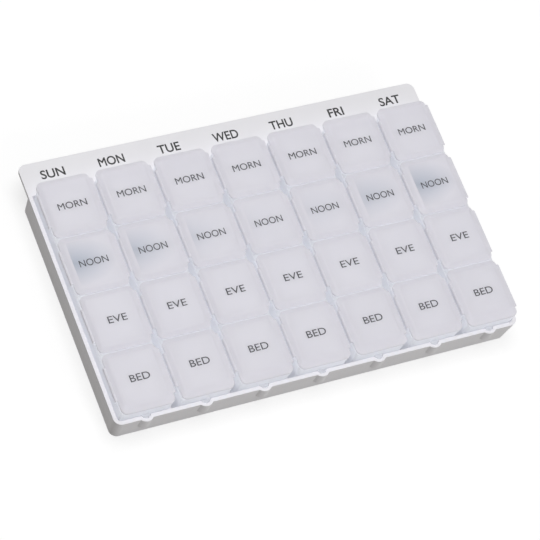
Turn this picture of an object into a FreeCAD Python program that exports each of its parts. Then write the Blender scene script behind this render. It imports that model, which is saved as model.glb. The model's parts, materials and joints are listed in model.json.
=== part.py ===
import FreeCAD, Part
import os

# Weekly pill organizer: a low moulded tray that holds seven lift-out day boxes side by side. Each day box
# has four wells in a row, and each well has its own flip lid on a living hinge.
# Millimetres. +X runs from Sunday to Saturday, +Y from the front wall to the header plate, +Z up.
# The origin is the middle of the tray's underside.

Vector = FreeCAD.Vector

DAYS = ("sun", "mon", "tue", "wed", "thu", "fri", "sat")
MEALS = ("bed", "eve", "noon", "morn")  # from the front wall to the header plate

# ---- the grid of wells
box_gap = 3.5  # between neighbouring boxes, at their mouths
meal_pitch = 31.8

# ---- draft: how far the walls of the boxes, and those of the tray round them, lean in towards the floor
side_draft = 1.4
end_draft = 0.6

# ---- day box, one moulding in natural polypropylene
box_width = 28.0
box_height = 20.4
box_wall = 1.2
box_floor = 1.2
well_corner = 1.6  # across the corners of a well
partition_draft = 0.3  # each face of the walls between wells

# ---- flip lid, a shallow dish with a raised top
lid_gap = 0.8  # between neighbouring lids of one box
lid_seat = 0.1  # between a lid and the walls that it closes on
lid_thickness = 1.2
lid_crown = 1.3  # how far the raised top stands above the lid's edge
lid_right_overhang = 0.15
lid_front_overhang = 0.6  # the front lid past the box's front wall
lid_front_extra = 1.1  # how much further the front lid reaches than the others
lid_back_overhang = 2.9  # the back lid past the box's back wall, over the header plate
lid_corner = 2.6
crown_slope = 2.6  # width of the sloped band around the raised top
crown_corner = 1.6  # across the corners of the raised top
skirt_depth = 1.4  # the rim under the lid that drops into the well's mouth
skirt_thickness = 0.9
skirt_clearance = 0.35

# ---- thumb tab on the lid's right edge, a lip that droops past the box's wall
tab_length = 24.0
tab_offset = 0.6  # behind the lid's middle
tab_reach = 1.95
tab_droop = 1.75
tab_thickness = 1.1

# ---- living hinge: its axis is the line where the lid's top left edge meets a land on the box's left wall
hinge_length = 18.0
hinge_gap = 0.2  # groove between the land and the lid, with the axis in its middle
land_width = 0.9
land_depth = 1.5  # how far the land reaches down the wall
land_root = 0.5  # how far it is let into the wall

# ---- tray, one opaque moulding
tray_wall = 2.0
tray_floor = 2.0
tray_height = 15.9
tray_front_corner = 4.0
tray_back_corner = 2.6
box_side_clearance = 0.4
box_end_clearance = 0.4
divider_height = 4.0
divider_clearance = 1.2  # from a divider's foot to the box on either side
divider_end_gap = 6.0

# ---- header plate, which carries the names of the days
header_reach = 15.5
header_thickness = 1.8
header_corner = 4.0

# ---- half-round pockets in the front wall, and the nose of each box that drops into one
pocket_radius = 4.2
pocket_bulge = 1.5  # how far a pocket stands out of the front wall
pocket_wall = 1.6
pocket_depth = 6.0
nose_clearance = 0.3
nose_thickness = 2.4

# ---- sizes that follow from those above
day_pitch = box_width + box_gap
lid_row = len(MEALS) * meal_pitch - lid_gap + lid_front_extra
box_length = lid_row - lid_front_overhang - lid_back_overhang
box_half_width = box_width / 2
box_half = box_length / 2
grid_shift = (lid_back_overhang + lid_front_extra - lid_front_overhang) / 2
box_top = tray_floor + box_height
lid_bottom = box_top + lid_seat
lid_edge_top = lid_bottom + lid_thickness
lid_top = lid_edge_top + lid_crown
lid_half_length = (meal_pitch - lid_gap) / 2
lid_left = hinge_gap - box_half_width
lid_right = box_half_width + lid_right_overhang
inside_width = day_pitch * (len(DAYS) - 1) / 2 + box_half_width + box_side_clearance
inside_depth = box_half + box_end_clearance
tray_half_width = inside_width + tray_wall
inside_corner = tray_front_corner - tray_wall
box_corner = inside_corner - box_side_clearance
tray_half_depth = inside_depth + tray_wall
pocket_y = pocket_radius - pocket_bulge - tray_half_depth
pocket_inner_radius = pocket_radius - pocket_wall


def day_x(day):
    """The middle of a day box, across the tray."""
    return (DAYS.index(day) - (len(DAYS) - 1) / 2) * day_pitch


def meal_y(meal):
    """The middle of a lid, from front to back."""
    return (MEALS.index(meal) - (len(MEALS) - 1) / 2) * meal_pitch + grid_shift


def inset(rectangle, sides, front, back):
    """A (left, right, front, back) rectangle with its edges moved in."""
    return (rectangle[0] + sides, rectangle[1] - sides, rectangle[2] + front, rectangle[3] - back)


def tapered(lower, upper, bottom, top):
    """The solid from one rectangle at the bottom to another at the top, with flat walls."""
    left, right, front, back = lower
    upper_left, upper_right, upper_front, upper_back = upper
    solid = Part.makeWedge(
        left, bottom, -back, -upper_back, upper_left, right, top, -front, -upper_front, upper_right)
    solid.rotate(Vector(0, 0, 0), Vector(1, 0, 0), 90)
    return solid


def block(rectangle, bottom, top):
    """A solid with upright walls."""
    return tapered(rectangle, rectangle, bottom, top)


def octagon(rectangle, corner, z):
    """The points of a rectangle at one height, with its corners cut across."""
    left, right, front, back = rectangle
    return [
        Vector(left + corner, front, z),
        Vector(right - corner, front, z),
        Vector(right, front + corner, z),
        Vector(right, back - corner, z),
        Vector(right - corner, back, z),
        Vector(left + corner, back, z),
        Vector(left, back - corner, z),
        Vector(left, front + corner, z),
    ]


def faceted(lower, upper):
    """The solid between two outlines of as many points, with one flat wall for each side."""
    rings = [lower, upper]
    for index in range(len(lower)):
        rings.append([lower[index - 1], lower[index], upper[index], upper[index - 1]])
    faces = [Part.Face(Part.makePolygon(ring + ring[:1])) for ring in rings]
    shell = Part.makeShell(faces)
    shell.sewShape()
    solid = Part.makeSolid(shell)
    if solid.Volume < 0:
        solid.reverse()
    return solid


def uprights(solid, side):
    """The two corner edges at a solid's front (side -1) or back (side 1)."""
    bounds = solid.BoundBox
    return [
        edge for edge in solid.Edges
        if edge.BoundBox.ZLength > bounds.ZLength / 2
        and (edge.CenterOfMass.y - bounds.Center.y) * side > bounds.YLength / 4]


def rounded(solid, front_corner, back_corner):
    """The same solid with its corner edges rounded."""
    solid = solid.makeFillet(front_corner, uprights(solid, -1))
    return solid.makeFillet(back_corner, uprights(solid, 1))


def profile_bar(points, length):
    """A bar along Y from a closed outline in the XZ plane, centred on y = 0."""
    corners = [Vector(x, -length / 2, z) for x, z in points]
    face = Part.Face(Part.makePolygon(corners + corners[:1]))
    return face.extrude(Vector(0, length, 0))


# ---------------------------------------------------------------- tray
def column(x, radius, depth):
    """A cylinder in the front wall that reaches down from the tray's rim."""
    return Part.makeCylinder(radius, depth, Vector(x, pocket_y, tray_height - depth))


def make_divider(x):
    """A low rib on the tray's floor, halfway between two boxes and parallel to their walls."""
    foot = box_gap / 2 + side_draft - divider_clearance
    crest = foot - side_draft * divider_height / box_height
    reach = inside_depth - divider_end_gap
    lower = (x - foot, x + foot, -reach, reach)
    upper = (x - crest, x + crest, -reach, reach)
    return tapered(lower, upper, tray_floor, tray_floor + divider_height)


def make_tray():
    rim = (-tray_half_width, tray_half_width, -tray_half_depth, tray_half_depth)
    underside = inset(rim, side_draft, end_draft, 0)
    body = rounded(tapered(underside, rim, 0, tray_height), tray_front_corner, tray_back_corner)
    body = body.fuse([column(day_x(day), pocket_radius, pocket_depth + pocket_wall) for day in DAYS])

    plate_front = tray_half_depth - tray_wall - tray_back_corner
    plate = (-tray_half_width, tray_half_width, plate_front, tray_half_depth + header_reach)
    header = block(plate, tray_height - header_thickness, tray_height)
    body = body.fuse(header.makeFillet(header_corner, uprights(header, 1)))

    mouth = (-inside_width, inside_width, -inside_depth, inside_depth)
    floor = inset(mouth, side_draft, end_draft, 0)
    inside = tapered(floor, mouth, tray_floor, tray_height)
    body = body.cut(rounded(inside, inside_corner, tray_back_corner - tray_wall))
    body = body.cut([column(day_x(day), pocket_inner_radius, pocket_depth) for day in DAYS])
    dividers = [make_divider((day_x(one) + day_x(two)) / 2) for one, two in zip(DAYS, DAYS[1:])]
    return body.fuse(dividers).removeSplitter()


# ---------------------------------------------------------------- day boxes
def well_span(meal):
    """Front and back limits of a well's mouth, measured from the middle of its lid."""
    front = (box_wall - meal_pitch) / 2
    back = -front
    if meal == MEALS[0]:
        front = box_wall - box_half - meal_y(meal)
    if meal == MEALS[-1]:
        back = box_half - box_wall - meal_y(meal)
    return front, back


def make_well(meal):
    """The hollow of one well."""
    front, back = well_span(meal)
    half = box_half_width - box_wall
    mouth = (-half, half, meal_y(meal) + front, meal_y(meal) + back)
    front_draft = end_draft if meal == MEALS[0] else partition_draft
    back_draft = end_draft if meal == MEALS[-1] else partition_draft
    floor = inset(mouth, side_draft, front_draft, back_draft)
    bottom = tray_floor + box_floor
    return faceted(octagon(floor, well_corner, bottom), octagon(mouth, well_corner, box_top))


def make_hinge_land(meal):
    """The ledge on a box's left wall that one lid hangs on, level with the lid's edge."""
    inner = -box_half_width
    outer = inner - land_width
    root = box_top - land_depth
    land = profile_bar((
        (inner, lid_edge_top),
        (outer, lid_edge_top),
        (outer, root + land_width),
        (inner, root),
        (inner + land_root, root),
        (inner + land_root, box_top),
        (inner, box_top)), hinge_length)
    land.translate(Vector(0, meal_y(meal), 0))
    return land


def make_box():
    mouth = (-box_half_width, box_half_width, -box_half, box_half)
    floor = inset(mouth, side_draft, end_draft, end_draft)
    body = rounded(tapered(floor, mouth, tray_floor, box_top), box_corner, box_corner)
    body = body.fuse(column(0, pocket_inner_radius - nose_clearance, nose_thickness))
    body = body.cut([make_well(meal) for meal in MEALS])
    return body.fuse([make_hinge_land(meal) for meal in MEALS]).removeSplitter()


# ---------------------------------------------------------------- lids
def make_tab():
    """The drooping thumb tab, a curved lip."""
    root = lid_right - tab_thickness
    tip = lid_right + tab_reach
    low = lid_edge_top - tab_droop
    front = tab_offset - tab_length / 2
    start = Vector(lid_right, front, lid_edge_top)
    middle = Vector(lid_right + tab_reach * 0.7, front, lid_edge_top - tab_droop * 0.35)
    end = Vector(tip, front, low)
    rest = [
        end,
        Vector(tip - tab_thickness, front, low),
        Vector(lid_right, front, lid_bottom),
        Vector(root, front, lid_bottom),
        Vector(root, front, lid_edge_top),
        start,
    ]
    outline = Part.Wire([Part.Arc(start, middle, end).toShape()] + Part.makePolygon(rest).Edges)
    return Part.Face(outline).extrude(Vector(0, tab_length, 0))


def make_lid(meal):
    """One lid, with the middle of its box at x = 0 and the middle of its raised top at y = 0."""
    edge = (lid_left, lid_right, -lid_half_length, lid_half_length)
    crest = inset(edge, crown_slope, crown_slope, crown_slope)
    if meal == MEALS[0]:
        edge = inset(edge, 0, -lid_front_extra, 0)
    shell = rounded(block(edge, lid_bottom, lid_edge_top), lid_corner, lid_corner)
    crown = faceted(octagon(edge, lid_corner, lid_edge_top), octagon(crest, crown_corner, lid_top))
    shell = shell.fuse(crown)

    front, back = well_span(meal)
    side = box_half_width - box_wall
    corner_reach = well_corner / 2 + skirt_clearance
    skirt_outside = inset((-side, side, front, back), corner_reach, corner_reach, corner_reach)
    skirt_inside = inset(skirt_outside, skirt_thickness, skirt_thickness, skirt_thickness)
    skirt_bottom = lid_bottom - skirt_depth
    shell = shell.fuse(block(skirt_outside, skirt_bottom, lid_bottom))
    shell = shell.cut(block(skirt_inside, skirt_bottom, lid_bottom))
    ceiling = inset(skirt_inside, crown_slope, crown_slope, crown_slope)
    shell = shell.cut(tapered(skirt_inside, ceiling, lid_bottom, lid_top - lid_thickness))
    return shell.fuse(make_tab()).removeSplitter()


def save(shape, name):
    shape.exportStep("parts/" + name + ".step")


os.makedirs("parts", exist_ok=True)
save(make_tray(), "tray")
day_box = make_box()
lids = {meal: make_lid(meal) for meal in MEALS}
for day in DAYS:
    box = day_box.copy()
    box.translate(Vector(day_x(day), 0, 0))
    save(box, day + "_box")
    for meal in MEALS:
        lid = lids[meal].copy()
        lid.translate(Vector(day_x(day), meal_y(meal), 0))
        save(lid, day + "_" + meal + "_lid")
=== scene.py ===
# %% [markdown]
# # Weekly pill organizer
# A low white tray holds seven lift-out day boxes. Each box has four wells in a row and four flip lids.
# The imported frame already holds every rigid piece at its real size, so this lesson is about finish: soft
# edges, frosted lids, printed words and even studio light. The frame's box is kept here. All sizes are in
# metres, and mm turns a millimetre into them.

# %% Load the frame
import json
import math
import bmesh
import bpy
from mathutils import Matrix, Vector


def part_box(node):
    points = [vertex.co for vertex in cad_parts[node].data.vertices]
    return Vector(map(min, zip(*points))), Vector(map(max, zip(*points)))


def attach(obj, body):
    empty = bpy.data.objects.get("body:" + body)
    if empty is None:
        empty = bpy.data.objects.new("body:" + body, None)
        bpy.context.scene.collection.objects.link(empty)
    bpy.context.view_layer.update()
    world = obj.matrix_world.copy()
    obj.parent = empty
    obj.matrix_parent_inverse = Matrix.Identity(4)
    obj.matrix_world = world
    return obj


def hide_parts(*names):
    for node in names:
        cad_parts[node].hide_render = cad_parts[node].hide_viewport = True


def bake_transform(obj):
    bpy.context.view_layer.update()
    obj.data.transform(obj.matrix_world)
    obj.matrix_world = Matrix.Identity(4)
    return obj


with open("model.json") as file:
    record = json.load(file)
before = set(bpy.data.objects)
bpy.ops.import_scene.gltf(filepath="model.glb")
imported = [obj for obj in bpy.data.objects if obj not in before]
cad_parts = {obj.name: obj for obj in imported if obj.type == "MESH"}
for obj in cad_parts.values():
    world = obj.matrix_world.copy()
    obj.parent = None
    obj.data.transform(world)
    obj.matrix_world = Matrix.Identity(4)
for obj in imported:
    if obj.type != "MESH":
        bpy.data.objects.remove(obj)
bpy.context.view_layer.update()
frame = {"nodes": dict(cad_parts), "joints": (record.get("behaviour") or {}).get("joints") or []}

mm = 0.001

# %% [markdown]
# ## Names
# Every day has one box and every meal time one lid in each box. The frame names them in the same way, so
# two short lists are enough to find all pieces again.

# %% Days and times
DAYS = ("sun", "mon", "tue", "wed", "thu", "fri", "sat")
TIMES = ("morn", "noon", "eve", "bed")
lid_names = [day + "_" + time + "_lid" for day in DAYS for time in TIMES]
hinges = {joint["child"]: Vector(joint["pos_m"]) for joint in frame["joints"] if joint["type"] == "hinge"}
print(len(lid_names), "lids on", len(hinges), "hinges")

# %% [markdown]
# ## Camera
# The organizer is seen from its front left, from high up, with a long lens and the camera tilted. The long
# lens keeps the far lids nearly as large as the near ones. A target, a distance and three angles say where
# the camera is. Three turns make its rotation: it rolls first, is raised next, and swings round the object
# last.

# %% Camera
target = Vector((-9.65, -8.38, 25.0)) * mm
distance = 1378.9 * mm
azimuth, elevation, roll = math.radians(-48.63), math.radians(58.55), math.radians(30.73)

turn = Matrix.Rotation(azimuth, 4, "Z") @ Matrix.Rotation(math.pi / 2 - elevation, 4, "X")
camera_data = bpy.data.cameras.new("studio_camera")
camera_data.lens = 186.67
camera_data.sensor_width = 36.0
camera = bpy.data.objects.new("studio_camera", camera_data)
bpy.context.scene.collection.objects.link(camera)
camera.matrix_world = (
    Matrix.Translation(target) @ turn @ Matrix.Rotation(roll, 4, "Z") @ Matrix.Translation((0, 0, distance)))
bpy.context.scene.camera = camera
print("camera at", [round(v / mm) for v in camera.matrix_world.translation], "mm")

# %% [markdown]
# ## Colours and nodes
# Colours are written as sRGB hex, as a paint chart gives them, and Blender's shaders work in linear light,
# so one function converts them. A second function adds a node, sets its values and links its inputs, which
# keeps each material readable as a short list.

# %% Two helpers
def colour(code):
    """An sRGB hex colour as linear RGBA."""
    parts = [int(code[i:i + 2], 16) / 255 for i in (1, 3, 5)]
    return [v / 12.92 if v <= 0.04045 else ((v + 0.055) / 1.055) ** 2.4 for v in parts] + [1.0]


def add(owner, kind, values=(), links=(), **settings):
    """One node in a material or world. Settings are options, values fill sockets and links join them."""
    tree = owner.node_tree
    node = tree.nodes.new(kind)
    for name, value in settings.items():
        setattr(node, name, value)
    for socket, value in dict(values).items():
        node.inputs[socket].default_value = value
    for socket, source in dict(links).items():
        tree.links.new(source, node.inputs[socket])
    return node


print("mid grey is", round(colour("#808080")[0], 3), "in linear light")

# %% [markdown]
# ## Materials
# The tray is white polypropylene, moulded in a lightly textured tool: opaque, with a broad satin highlight
# and a very faint mottle. One noise makes the grain of the tool as a bump, and a much wider one mixes two
# near tints. Every plastic here starts from this one. Milkiness is the share of light that creeps along
# inside the wall, over a reach near the wall's own thickness, and the pigmented tray has none.

# %% Moulded polypropylene
grain_width, mottle_width = 0.6 * mm, 18 * mm
polypropylene_ior = 1.49


def moulded(name, base, mottled, roughness, depth, milkiness, reach):
    """Polypropylene with a fine moulded grain: depth is its height, base and mottled the two tints."""
    material = bpy.data.materials.new(name)
    material.use_nodes = True
    shader = material.node_tree.nodes["Principled BSDF"]
    shader.inputs["Roughness"].default_value = roughness
    shader.inputs["IOR"].default_value = polypropylene_ior
    shader.inputs["Subsurface Weight"].default_value = milkiness
    shader.inputs["Subsurface Radius"].default_value = (1.0, 1.0, 1.0)
    shader.inputs["Subsurface Scale"].default_value = reach
    place = add(material, "ShaderNodeTexCoord").outputs["Object"]
    grain = add(material, "ShaderNodeTexNoise", {"Scale": 1 / grain_width, "Detail": 2.0}, {"Vector": place})
    bump = add(material, "ShaderNodeBump", {"Strength": 0.25, "Distance": depth},
               {"Height": grain.outputs["Fac"]})
    mottle = add(material, "ShaderNodeTexNoise", {"Scale": 1 / mottle_width, "Detail": 1.0},
                 {"Vector": place})
    tint = add(material, "ShaderNodeMix", {6: colour(base), 7: colour(mottled)},
               {"Factor": mottle.outputs["Fac"]}, data_type="RGBA")
    material.node_tree.links.new(tint.outputs[2], shader.inputs["Base Color"])
    material.node_tree.links.new(bump.outputs["Normal"], shader.inputs["Normal"])
    return material


white_polypropylene = moulded(
    "white_polypropylene_moulded", "#E8E7EA", "#ECEBEE", roughness=0.42, depth=0.03 * mm, milkiness=0.0,
    reach=1 * mm)
print("tray plastic:", white_polypropylene.name)

# %% [markdown]
# ## Milky plastic
# The boxes and lids are the same plastic without pigment. A thin wall of natural polypropylene passes most of
# the light that meets it and scatters it on the way. Lamps reach into the wells, the wells glow, and no gap
# between two lids turns dark. Three shaders share that work. The Principled one shows the surface, its sheen
# and the soft light that creeps along inside the wall. Translucent adds the light from behind the wall.
# Transparent answers lamps only, by way of Light Path's Is Shadow Ray, so that a wall takes a little of their
# light and not all of it.

# %% Frosted polypropylene for the lids
def thin_walled(material, glow, share, passed):
    """Let a plastic pass light: share is how much of it shows light from behind, passed what lamps keep."""
    tree = material.node_tree
    surface = tree.nodes["Principled BSDF"].outputs["BSDF"]
    behind = add(material, "ShaderNodeBsdfTranslucent", {"Color": colour(glow)})
    wall = add(material, "ShaderNodeMixShader", {0: share}, {1: surface, 2: behind.outputs["BSDF"]})
    clear = add(material, "ShaderNodeBsdfTransparent", {"Color": colour(passed)})
    ray = add(material, "ShaderNodeLightPath")
    lit = add(material, "ShaderNodeMixShader", {},
              {0: ray.outputs["Is Shadow Ray"], 1: wall.outputs["Shader"], 2: clear.outputs["BSDF"]})
    tree.links.new(lit.outputs["Shader"], tree.nodes["Material Output"].inputs["Surface"])
    return material


def frosted(name):
    """The plastic of the lids: a little greyer than the boxes' and less clear."""
    return thin_walled(moulded(name, "#DCDBE0", "#E0DFE3", roughness=0.45, depth=0.03 * mm, milkiness=0.7,
                               reach=3 * mm), glow="#F1F0F3", share=0.32, passed="#FBFBFC")


frosted_polypropylene = frosted("frosted_polypropylene_moulded")
print("lid plastic:", frosted_polypropylene.name)

# %% [markdown]
# ## The boxes' plastic
# The boxes are clearer than the lids, and much of the light in a covered well comes in through their walls.
# The floors of the wells have a grained inner face, though, which scatters more light back and passes less of
# it on. That keeps an empty well white, and the tray under a lifted box isn't overlit. One height tells the
# floors from the walls, so one plastic serves both.

# %% Natural polypropylene for the boxes
def matte_below(material, height, share, passed):
    """Below a height, a grained face scatters more light back: it has its own share and passed."""
    tree = material.node_tree
    clear = tree.nodes["Transparent BSDF"].inputs["Color"]
    wall_share = tree.nodes["Mix Shader"].inputs["Fac"]
    place = add(material, "ShaderNodeTexCoord").outputs["Object"]
    along = add(material, "ShaderNodeSeparateXYZ", (), {0: place})
    above = add(material, "ShaderNodeMath", {1: height}, {0: along.outputs["Z"]}, operation="GREATER_THAN")
    shade = add(material, "ShaderNodeMix", {6: colour(passed), 7: clear.default_value[:]},
                {"Factor": above.outputs[0]}, data_type="RGBA")
    tree.links.new(shade.outputs[2], clear)
    through = add(material, "ShaderNodeMapRange", {"To Min": share, "To Max": wall_share.default_value},
                  {"Value": above.outputs[0]})
    tree.links.new(through.outputs["Result"], wall_share)
    return material


milky_polypropylene = thin_walled(
    moulded("natural_polypropylene_moulded", "#E7E8EB", "#EBECEE", roughness=0.38, depth=0.02 * mm,
            milkiness=0.8, reach=4 * mm), glow="#F4F5F7", share=0.6, passed="#FDFDFE")
well_floor_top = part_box("sun_box")[0].z + 1.5 * mm
matte_below(milky_polypropylene, well_floor_top, share=0.3, passed="#CCCCCE")
print("box plastic:", milky_polypropylene.name, "with well floors up to", round(well_floor_top / mm, 1), "mm")

# %% [markdown]
# ## Painted shade on the noon lids
# The raised tops of the noon lids carry painted shade: a soft blue-grey patch on the hinge side of each,
# mixed into the colour of the same plastic that the other lids have. A gradient that fades from a point makes
# it, stretched along the lid. Wrapping the coordinate by the day pitch repeats it on every lid of the row,
# and it is stronger towards the row's ends.

# %% Painted shade on the noon tops
# How strong the painted shade is in the middle of the row, as a share of its full strength.
faintest_painted_shade = 0.12  # of a cloud's full strength, in the middle of the row


def paint_shade(material, shade_tint, pitch, point, reach):
    """Mix painted shade into a plastic's colour about a point, repeated along X and strongest at the row's
    ends.
    """
    tree = material.node_tree
    shader = tree.nodes["Principled BSDF"]
    place = add(material, "ShaderNodeTexCoord").outputs["Object"]
    local = add(material, "ShaderNodeVectorMath", {1: (pitch / 2, 1, 1), 2: (-pitch / 2, -1, -1)}, {0: place},
                operation="WRAP")
    centred = add(material, "ShaderNodeVectorMath", {1: point}, {0: local.outputs[0]}, operation="SUBTRACT")
    scaled = add(material, "ShaderNodeVectorMath", {1: reach}, {0: centred.outputs[0]}, operation="DIVIDE")
    fade = add(material, "ShaderNodeTexGradient", (), {"Vector": scaled.outputs[0]},
               gradient_type="SPHERICAL")
    column = add(material, "ShaderNodeSeparateXYZ", (), {0: place})
    away = add(material, "ShaderNodeMath", (), {0: column.outputs["X"]}, operation="ABSOLUTE")
    amount = add(material, "ShaderNodeMapRange",
                 {"From Min": 0.6 * pitch, "From Max": 3 * pitch, "To Min": faintest_painted_shade},
                 {"Value": away.outputs[0]})
    soft = add(material, "ShaderNodeMath", (), {0: fade.outputs["Fac"], 1: amount.outputs["Result"]},
               operation="MULTIPLY")
    # The painted shade is mixed into the plastic's base colour here.
    tint = add(material, "ShaderNodeMix", {7: colour(shade_tint)},
               {"Factor": soft.outputs[0], 6: shader.inputs["Base Color"].links[0].from_socket},
               data_type="RGBA")
    tree.links.new(tint.outputs[2], shader.inputs["Base Color"])
    return material


day_pitch = hinges["wed_noon_lid"].x - hinges["tue_noon_lid"].x
painted_shade_middle = (-9.5 * mm, hinges["wed_noon_lid"].y + 1.0 * mm, 25 * mm)
painted_shade_reach = (22 * mm, 13 * mm, 1.0)
# The noon lids' plastic, with a blue-grey patch of painted shade mixed into its colour.
shade_painted_polypropylene = paint_shade(
    frosted("shade_painted_polypropylene_moulded"), "#A0ABB7", day_pitch, painted_shade_middle, painted_shade_reach)
print("clouds every", round(day_pitch / mm, 1), "mm on", shade_painted_polypropylene.name)

# %% [markdown]
# ## Ink
# The words are pad-printed: a thin film of matte ink. Ink has no depth worth modelling, but its edge must be
# crisp, so it gets a plain dark shader with a trace of unevenness in the cover.

# %% Printing ink
def ink(name, base, worn):
    """Matte printing ink whose cover varies a little."""
    material = bpy.data.materials.new(name)
    material.use_nodes = True
    shader = material.node_tree.nodes["Principled BSDF"]
    shader.inputs["Roughness"].default_value = 0.6
    place = add(material, "ShaderNodeTexCoord").outputs["Object"]
    cover_width = 0.8 * mm
    cover = add(material, "ShaderNodeTexNoise", {"Scale": 1 / cover_width}, {"Vector": place})
    tint = add(material, "ShaderNodeMix", {6: colour(base), 7: colour(worn)},
               {"Factor": cover.outputs["Fac"]}, data_type="RGBA")
    material.node_tree.links.new(tint.outputs[2], shader.inputs["Base Color"])
    return material


black_ink = ink("black_printing_ink", "#131314", "#2A2A2C")
grey_ink = ink("grey_printing_ink", "#3E3E42", "#58585C")
print("inks:", black_ink.name, grey_ink.name)

# %% [markdown]
# ## Finishing a mesh
# A moulding is smooth, with a few real creases. So every moulding ends in the same way: points that coincide
# are merged, normals point outwards, faces shade smoothly and only steep creases stay sharp.

# %% Finish a piece
hair = 0.001 * mm  # no distance at all, for a mesh
sharp_angle = math.radians(38)


def finish(name, bm, material):
    """Turn a bmesh into an object with smooth faces, sharp creases and one material."""
    bmesh.ops.remove_doubles(bm, verts=bm.verts, dist=hair)
    bmesh.ops.recalc_face_normals(bm, faces=bm.faces)
    mesh = bpy.data.meshes.new(name)
    bm.to_mesh(mesh)
    bm.free()
    mesh.shade_smooth()
    mesh.set_sharp_from_angle(angle=sharp_angle)
    mesh.materials.append(material)
    piece = bpy.data.objects.new(name, mesh)
    bpy.context.scene.collection.objects.link(piece)
    flat = piece.modifiers.new("flat_faces_stay_flat", "WEIGHTED_NORMAL")
    flat.keep_sharp = True
    return piece


print("creases stay sharp above", round(math.degrees(sharp_angle)), "degrees")

# %% [markdown]
# ## Tray and day boxes
# The frame's tray and boxes have the right shape but knife-sharp edges, and no moulding has those. A copy of
# each mesh is merged, its flat areas are cleared of loose triangles, and every crease gets a small round.
# That costs less than modelling both again. A box's hinge lands, the ledges that its lids hang on, are as
# thick and as dense as the lids, so their faces take the lids' plastic.

# %% Soften a copy of a frame piece
frame_seam = 0.002 * mm
flat_angle, softened_angle = math.radians(2), math.radians(30)
tray_round, box_round = 0.5 * mm, 0.3 * mm


def softened(node, name, radius, material):
    """A copy of a frame piece whose creases are rounded."""
    bm = bmesh.new()
    bm.from_mesh(frame["nodes"][node].data)
    bmesh.ops.remove_doubles(bm, verts=bm.verts, dist=frame_seam)
    bmesh.ops.dissolve_limit(bm, angle_limit=flat_angle, verts=bm.verts, edges=bm.edges)
    creases = [edge for edge in bm.edges if len(edge.link_faces) == 2
               and edge.calc_face_angle() > softened_angle]
    bmesh.ops.bevel(bm, geom=creases, offset=radius, offset_type="OFFSET", affect="EDGES",
                    segments=3, profile=0.5, material=-1, clamp_overlap=True)
    piece = finish(name, bm, material)
    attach(piece, node)
    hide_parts(node)
    return piece


tray = softened("tray", "tray_moulding", tray_round, white_polypropylene)
boxes = [softened(day + "_box", day + "_box_moulding", box_round, milky_polypropylene)
         for day in DAYS]
print("tray faces:", len(tray.data.polygons), "box faces:", len(boxes[0].data.polygons))

# %% Hinge lands
hinge_land_height = 1.2 * mm
for day, box in zip(DAYS, boxes):
    box.data.materials.append(frosted_polypropylene)
    land_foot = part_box(day + "_box")[1].z - hinge_land_height
    for face in box.data.polygons:
        face.material_index = int(face.center.z > land_foot)
print("land faces:", sum(face.material_index for face in boxes[0].data.polygons), "on the first box")

# %% [markdown]
# ## Lids
# A lid is a shallow dish: a flat edge, a sloped band and a raised top, with a rim underneath and a thumb tab
# that droops over the side of the box. Modelling it by hand would take many steps, twenty-eight times over.
# Grown from rectangles by a few helpers, it follows the frame's box and hinge, and only the mould's own radii
# and wall thicknesses are given here.

# %% Lid sizes
edge_thickness, edge_corner, edge_round = 1.2 * mm, 3.0 * mm, 0.3 * mm
slope_width = 2.4 * mm
crown_corner, crest_round = 1.9 * mm, 0.9 * mm
right_overhang = 0.15 * mm
print_room = 0.05 * mm  # left free above the raised top for its word
crease_angle, shortest_crease = math.radians(50), 0.05 * mm
square_on = 0.999  # cosine of a face that lies square to an axis
print("lid edge", edge_thickness / mm, "mm thick, corners", edge_corner / mm, "mm")

# %% [markdown]
# ## Helpers for the lid's mesh
# Four steps come back again and again: find faces by where they are and look, lay down a rectangle with
# round corners, extrude some faces, and fit faces to a rectangle. Finding faces by a test keeps the steps
# independent of how a mesh numbers them.

# %% Lid helpers
def faces_at(bm, test):
    """The faces whose middle and normal pass a test."""
    bm.normal_update()
    return [face for face in bm.faces if test(face.calc_center_median(), face.normal)]


def sheet(bm, low, high, height, corner):
    """One flat face: a rectangle with rounded corners."""
    made = bmesh.ops.create_grid(bm, x_segments=1, y_segments=1, size=0.5)["verts"]
    bmesh.ops.scale(bm, verts=made, vec=(high.x - low.x, high.y - low.y, 1))
    bmesh.ops.translate(bm, verts=made, vec=((low.x + high.x) / 2, (low.y + high.y) / 2, height))
    rounded = bmesh.ops.bevel(bm, geom=made, offset=corner, offset_type="OFFSET", affect="VERTICES",
                              segments=8, profile=0.5, material=-1)
    return rounded["verts"][0].link_faces[0]


def grow(bm, faces, shift):
    """Extrude faces and move the new ones; inside a shell the old ones go."""
    outline = list({edge for face in faces for edge in face.edges})
    made = bmesh.ops.extrude_face_region(bm, geom=faces + outline)["geom"]
    moved = [item for item in made if isinstance(item, bmesh.types.BMVert)]
    bmesh.ops.translate(bm, verts=moved, vec=shift)
    return [item for item in made if isinstance(item, bmesh.types.BMFace)]


def fit(bm, faces, low, high):
    """Scale and shift faces in plan so that they fill a rectangle."""
    verts = list({vert for face in faces for vert in face.verts})
    old_low = Vector((min(v.co.x for v in verts), min(v.co.y for v in verts), 0))
    old_high = Vector((max(v.co.x for v in verts), max(v.co.y for v in verts), 0))
    size = old_high - old_low
    scale = ((high.x - low.x) / size.x, (high.y - low.y) / size.y, 1)
    bmesh.ops.translate(bm, verts=verts, vec=-old_low)
    bmesh.ops.scale(bm, verts=verts, vec=scale)
    bmesh.ops.translate(bm, verts=verts, vec=(low.x, low.y, 0))


print("lid helpers:", ", ".join(helper.__name__ for helper in (faces_at, sheet, grow, fit)))

# %% [markdown]
# ## The shape of one lid
# The edge is a rectangle, extruded to its thickness. Its top is taken off, and a sloped band bridges it to a
# smaller and higher rectangle, the raised top, which gets a wide round. Tab and rim follow, and the creases
# that are left are rounded last, because a bevel needs every edge that it meets.

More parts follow.
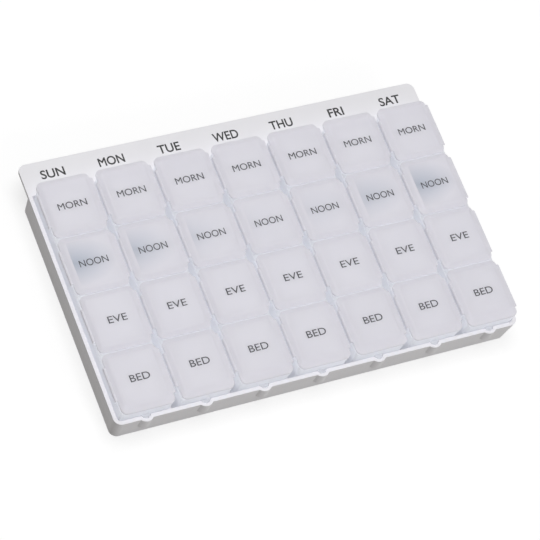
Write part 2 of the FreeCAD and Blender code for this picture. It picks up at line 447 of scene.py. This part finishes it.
# %% Lid shape
def lid_shape(node, skirt_low, skirt_high):
    """The bmesh of one lid, in its place."""
    low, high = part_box(node)
    hinge = hinges[node]
    box_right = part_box(node.split("_")[0] + "_box")[1].x
    right = box_right + right_overhang
    underside = hinge.z - edge_thickness
    crown_top = high.z - print_room

    bm = bmesh.new()
    sheet(bm, low, Vector((right, high.y, 0)), underside, edge_corner)
    grow(bm, list(bm.faces), (0, 0, edge_thickness))
    bmesh.ops.recalc_face_normals(bm, faces=bm.faces)
    lid_top = faces_at(bm, lambda centre, normal: normal.z > square_on)
    outer = [edge for face in lid_top for edge in face.edges]
    bmesh.ops.delete(bm, geom=lid_top, context="FACES_ONLY")
    crown_half = high.y - hinge.y - slope_width
    crown = sheet(bm, Vector((low.x + slope_width, hinge.y - crown_half, 0)),
                  Vector((right - slope_width, hinge.y + crown_half, 0)), crown_top, crown_corner)
    bmesh.ops.bridge_loops(bm, edges=outer + list(crown.edges))
    bmesh.ops.recalc_face_normals(bm, faces=bm.faces)
    raised = faces_at(bm, lambda centre, normal: normal.z > square_on)
    crest = [edge for face in raised for edge in face.edges]
    bmesh.ops.bevel(bm, geom=crest, offset=crest_round, offset_type="OFFSET", affect="EDGES",
                    segments=4, profile=0.5, material=-1)
    add_tab(bm, right, high.x - right, hinge)
    add_skirt(bm, underside, skirt_low, skirt_high, high.z - hinge.z)

    bm.normal_update()
    creases = [edge for edge in bm.edges
               if len(edge.link_faces) == 2 and edge.calc_face_angle() > crease_angle
               and edge.calc_length() > shortest_crease]
    bmesh.ops.bevel(bm, geom=creases, offset=edge_round, offset_type="OFFSET", affect="EDGES",
                    segments=2, profile=0.5, material=-1, clamp_overlap=True)
    return bm


print("slope", slope_width / mm, "mm wide all round")

# %% [markdown]
# ## The thumb tab
# A finger lifts the lid by a tab on its right, which curves down past the side of the box. Two cuts mark off
# the middle of the lid's right side, and that face is spun down about a line below it, which makes the
# curve in one step. The tab's lower corners are rounded.

# %% Thumb tab
tab_half, tab_offset, tab_corner = 12.0 * mm, 0.6 * mm, 0.9 * mm
tab_turn = math.radians(82)
near, beside = 0.01 * mm, 1 * mm
tab_end, tab_corner_angle, shortest_corner = 0.4 * mm, math.radians(60), 0.9 * mm


def add_tab(bm, right, reach, hinge):
    """Spin the middle of the lid's right side down into a thumb tab with rounded ends."""
    middle = hinge.y + tab_offset
    for side in (-1, 1):
        wall = faces_at(bm, lambda centre, normal: normal.x > square_on)
        parts = wall + list({e for f in wall for e in f.edges}) + list({v for f in wall for v in f.verts})
        bmesh.ops.bisect_plane(bm, geom=parts, plane_co=(0, middle + side * tab_half, 0),
                               plane_no=(0, 1, 0), dist=hair)
    root = faces_at(bm, lambda centre, normal: normal.x > square_on and abs(centre.y - middle) < beside)
    bmesh.ops.spin(bm, geom=root, cent=(right, 0, hinge.z - reach), axis=(0, 1, 0), angle=tab_turn,
                   steps=6, use_duplicate=False)
    bmesh.ops.delete(bm, geom=[f for f in root if f.is_valid], context="FACES_ONLY")
    corners = [edge for edge in bm.edges
               if len(edge.link_faces) == 2 and edge.calc_face_angle() > tab_corner_angle
               and abs(abs((edge.verts[0].co.y + edge.verts[1].co.y) / 2 - middle) - tab_half) < near
               and abs(edge.verts[0].co.y - edge.verts[1].co.y) < hair
               and min(v.co.z for v in edge.verts) < hinge.z - reach + tab_end
               and (edge.verts[0].co - edge.verts[1].co).length > shortest_corner]
    bmesh.ops.bevel(bm, geom=corners, offset=tab_corner, offset_type="OFFSET", affect="EDGES",
                    segments=4, profile=0.5, material=-1)


print("tab", round(2 * tab_half / mm, 1), "mm wide")

# %% [markdown]
# ## The rim underneath
# A rim under the lid drops into the well's mouth and keeps pills from creeping out. The underside is inset,
# fitted to the mouth and extruded down. A second inset goes up again and leaves the rim's wall standing. One
# more step hollows the raised top, because a moulding keeps its wall even.

# %% Rim
skirt_depth, skirt_wall, first_inset = 1.4 * mm, 0.9 * mm, 1.2 * mm


def add_skirt(bm, underside, skirt_low, skirt_high, dish):
    """Grow the rim under the lid and hollow the raised top from below."""
    under = faces_at(bm, lambda centre, normal: normal.z < -square_on and centre.z < underside + near)
    under = [max(under, key=lambda face: face.calc_area())]
    bmesh.ops.inset_region(bm, faces=under, thickness=first_inset, depth=0, use_even_offset=True)
    fit(bm, under, skirt_low, skirt_high)
    rim = grow(bm, under, (0, 0, -skirt_depth))
    bmesh.ops.inset_region(bm, faces=rim, thickness=skirt_wall, depth=0, use_even_offset=True)
    inner = grow(bm, rim, (0, 0, skirt_depth))
    inner = grow(bm, inner, (0, 0, dish))
    margin = Vector((skirt_wall + slope_width, skirt_wall + slope_width, 0))
    fit(bm, inner, skirt_low + margin, skirt_high - margin)


print("rim", skirt_depth / mm, "mm deep")

# %% [markdown]
# ## All the lids
# The rim has to clear the walls of its well, so its rectangle is worked out from the box, the hinge and the
# partitions. The first and last wells of a box end at its outer walls. Each lid rides its own body, and the
# raised top of a noon lid takes the plastic with painted shade.

# %% Make the lids
box_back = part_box("sun_box")[1].y
box_wall, skirt_gap = 1.2 * mm, 1.15 * mm
hinge_groove_half, partition_half = 0.1 * mm, 15.3 * mm
lids = {}
for node in lid_names:
    day, time, _ = node.split("_")
    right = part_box(day + "_box")[1].x - box_wall - skirt_gap
    left = hinges[node].x - hinge_groove_half + box_wall + skirt_gap
    middle = hinges[node].y
    front = -box_back + box_wall if time == "bed" else middle - partition_half
    back = box_back - box_wall if time == "morn" else middle + partition_half
    bm = lid_shape(node, Vector((left, front + skirt_gap, 0)), Vector((right, back - skirt_gap, 0)))
    lid = finish(node + "_moulding", bm, frosted_polypropylene)
    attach(lid, node)
    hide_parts(node)
    # The raised top of a noon lid takes the plastic with painted shade.
    if time == "noon":
        lid.data.materials.append(shade_painted_polypropylene)
        max(lid.data.polygons, key=lambda face: face.center.z).material_index = 1
    lids[node] = lid
print(len(lids), "lids, the first with", len(lids["sun_morn_lid"].data.polygons), "faces")

# %% [markdown]
# ## Words
# The day names are printed in black along the header and the meal times in grey on the lids. Text objects
# give clean letters. Each word is turned into a mesh first and placed after that, so that its object stays
# at the origin like every other piece. It stands a hair above the plastic, as a print does.

# %% Print a word
ink_depth = 0.004  # in the text's own units
ink_flatness = 0.005  # metres for one of those units, through the print


def printed(word, name, cap_height, width, weight, centre, material, body):
    """A word as a thin film, centred on a point, with a given capital height, width and stroke weight."""
    curve = bpy.data.curves.new(name + "_text", "FONT")
    curve.body = word
    curve.resolution_u = 6
    curve.extrude = ink_depth
    curve.bevel_depth = weight
    curve.bevel_resolution = 0
    text = bpy.data.objects.new(name + "_text", curve)
    bpy.context.scene.collection.objects.link(text)
    bpy.context.view_layer.update()
    mesh = bpy.data.meshes.new_from_object(text)
    bpy.data.objects.remove(text)
    xs = [v.co.x for v in mesh.vertices]
    ys = [v.co.y for v in mesh.vertices]
    middle = Vector(((min(xs) + max(xs)) / 2, (min(ys) + max(ys)) / 2, 0))
    scale = Matrix.Diagonal((width / (max(xs) - min(xs)), cap_height / (max(ys) - min(ys)), ink_flatness, 1))
    mesh.transform(Matrix.Translation(centre) @ scale @ Matrix.Translation(-middle))
    mesh.materials.clear()
    mesh.materials.append(material)
    piece = bpy.data.objects.new(name, mesh)
    bpy.context.scene.collection.objects.link(piece)
    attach(piece, body)
    return piece


print("the finest print is", round(2 * ink_depth * ink_flatness / mm, 3), "mm thick")

# %% Header words
word_offset = 13.9 * mm  # from the hinges of a column to the middle of its words
day_cap, day_weight = 4.9 * mm, 0.016
day_width = {"sun": 12.7, "mon": 13.9, "tue": 12.0, "wed": 14.0, "thu": 12.8, "fri": 8.6, "sat": 12.0}
header_line = 72.3 * mm
header_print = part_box("tray")[1].z + 0.02 * mm
for day in DAYS:
    spot = Vector((hinges[day + "_morn_lid"].x + word_offset, header_line, header_print))
    printed(day.upper(), day + "_header_word", day_cap, day_width[day] * mm, day_weight, spot,
            black_ink, "tray")
print(len(DAYS), "header words,", round(2 * (ink_depth + day_weight) * ink_flatness / mm, 2), "mm thick")

# %% Lid words
time_cap, time_weight = 3.65 * mm, 0.0
time_width = {"morn": 15.2, "noon": 15.0, "eve": 9.9, "bed": 10.4}
time_shift = {"morn": 0.2 * mm, "noon": -0.1 * mm, "eve": 0.7 * mm, "bed": 0.6 * mm}
time_line = -0.15 * mm
lid_print = -0.03 * mm
for node in lids:
    day, time, _ = node.split("_")
    spot = hinges[node] + Vector((word_offset + time_shift[time], time_line, 0))
    spot.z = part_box(node)[1].z + lid_print
    printed(time.upper(), day + "_" + time + "_word", time_cap, time_width[time] * mm, time_weight, spot,
            grey_ink, node)
print(len(lids), "lid words")

# %% [markdown]
# ## Living hinges
# The film between a box's land and its lid is too thin to show much, but it must bend when the lid opens.
# It is a thin plate across the hinge line, made of narrow strips along it.

# %% Hinge films
film_half, film_reach, film_thickness = 8.9 * mm, 0.45 * mm, 0.35 * mm
film_depth, film_cuts = 0.1 * mm, 11
for node, line in hinges.items():
    bm = bmesh.new()
    bmesh.ops.create_cube(bm, size=1)
    bmesh.ops.scale(bm, verts=bm.verts, vec=(2 * film_reach, 2 * film_half, film_thickness))
    across = [edge for edge in bm.edges if abs(edge.verts[0].co.x - edge.verts[1].co.x) > film_reach]
    bmesh.ops.subdivide_edges(bm, edges=across, cuts=film_cuts, use_grid_fill=True)
    bmesh.ops.translate(bm, verts=bm.verts, vec=line - Vector((0, 0, film_depth + film_thickness / 2)))
    film = finish(node.replace("_lid", "_hinge_film"), bm, frosted_polypropylene)
    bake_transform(film)
print(len(hinges), "hinge films")

# %% [markdown]
# ## Paper and floor
# A pale floor carries the object's soft shadow. The camera sees it as white, and so do gloss and clear
# plastic, while its bounce onto the object is that of a pale grey table. A single grey paper could do only
# one of the two, so Light Path chooses between two papers by the kind of ray.

# %% Paper
paper_glow = 0.72


def background_rays(holder):
    """1 for the rays that show the background: the camera's, and those off gloss or through clear parts."""
    rays = add(holder, "ShaderNodeLightPath").outputs
    direct = add(holder, "ShaderNodeMath", (), {0: rays["Is Camera Ray"], 1: rays["Is Glossy Ray"]})
    every = add(holder, "ShaderNodeMath", (), {0: direct.outputs[0], 1: rays["Is Transmission Ray"]},
                use_clamp=True)
    return every.outputs[0]


paper = bpy.data.materials.new("matte_paper")
paper.use_nodes = True
nodes = paper.node_tree.nodes
nodes.remove(nodes["Principled BSDF"])
table = add(paper, "ShaderNodeBsdfDiffuse", {"Color": colour("#857F78")})
shadowed = add(paper, "ShaderNodeBsdfDiffuse", {"Color": colour("#A0A0A0")})
glow = add(paper, "ShaderNodeEmission", {"Strength": paper_glow})
seen = add(paper, "ShaderNodeAddShader", (), {0: shadowed.outputs[0], 1: glow.outputs[0]})
both = add(paper, "ShaderNodeMixShader", (),
           {"Fac": background_rays(paper), 1: table.outputs[0], 2: seen.outputs[0]})
paper.node_tree.links.new(both.outputs[0], nodes["Material Output"].inputs["Surface"])
print("paper:", len(nodes), "nodes")

# %% Floor
floor_half = 3.0
bm = bmesh.new()
bmesh.ops.create_grid(bm, x_segments=1, y_segments=1, size=floor_half)
mesh = bpy.data.meshes.new("studio_floor")
bm.to_mesh(mesh)
bm.free()
floor = bpy.data.objects.new("studio_floor", mesh)
bpy.context.scene.collection.objects.link(floor)
floor.data.materials.append(paper)
print("floor", [round(v, 1) for v in floor.dimensions])

# %% [markdown]
# ## Light
# The key light is a broad soft box above the object, and a weaker one fills the front. The world adds a low,
# even light, as a pale room does, though the camera sees it as white behind the floor. Powers are in watts
# and places in metres.

# %% Lamps and world
def area_lamp(name, place, size, power):
    """A square soft box that faces the object."""
    data = bpy.data.lights.new(name, "AREA")
    data.size = size
    data.energy = power
    lamp = bpy.data.objects.new(name, data)
    bpy.context.scene.collection.objects.link(lamp)
    lamp.location = place
    lamp.rotation_mode = "QUATERNION"
    lamp.rotation_quaternion = (-Vector(place)).to_track_quat("-Z", "Y")
    return lamp


area_lamp("key_light", place=(-0.10, 0.30, 1.5), size=1.2, power=14.9)
area_lamp("front_light", place=(0.5, -1.5, 0.6), size=0.9, power=7.2)

world = bpy.data.worlds.new("studio_world")
world.use_nodes = True
bpy.context.scene.world = world
background = world.node_tree.nodes["Background"]
room_light, seen_white = 0.24, 1.0
level = add(world, "ShaderNodeMapRange", {"To Min": room_light, "To Max": seen_white},
            {"Value": background_rays(world)})
world.node_tree.links.new(level.outputs["Result"], background.inputs["Strength"])
background.inputs["Color"].default_value = (1, 1, 1, 1)
bpy.context.scene.view_settings.view_transform = "Standard"
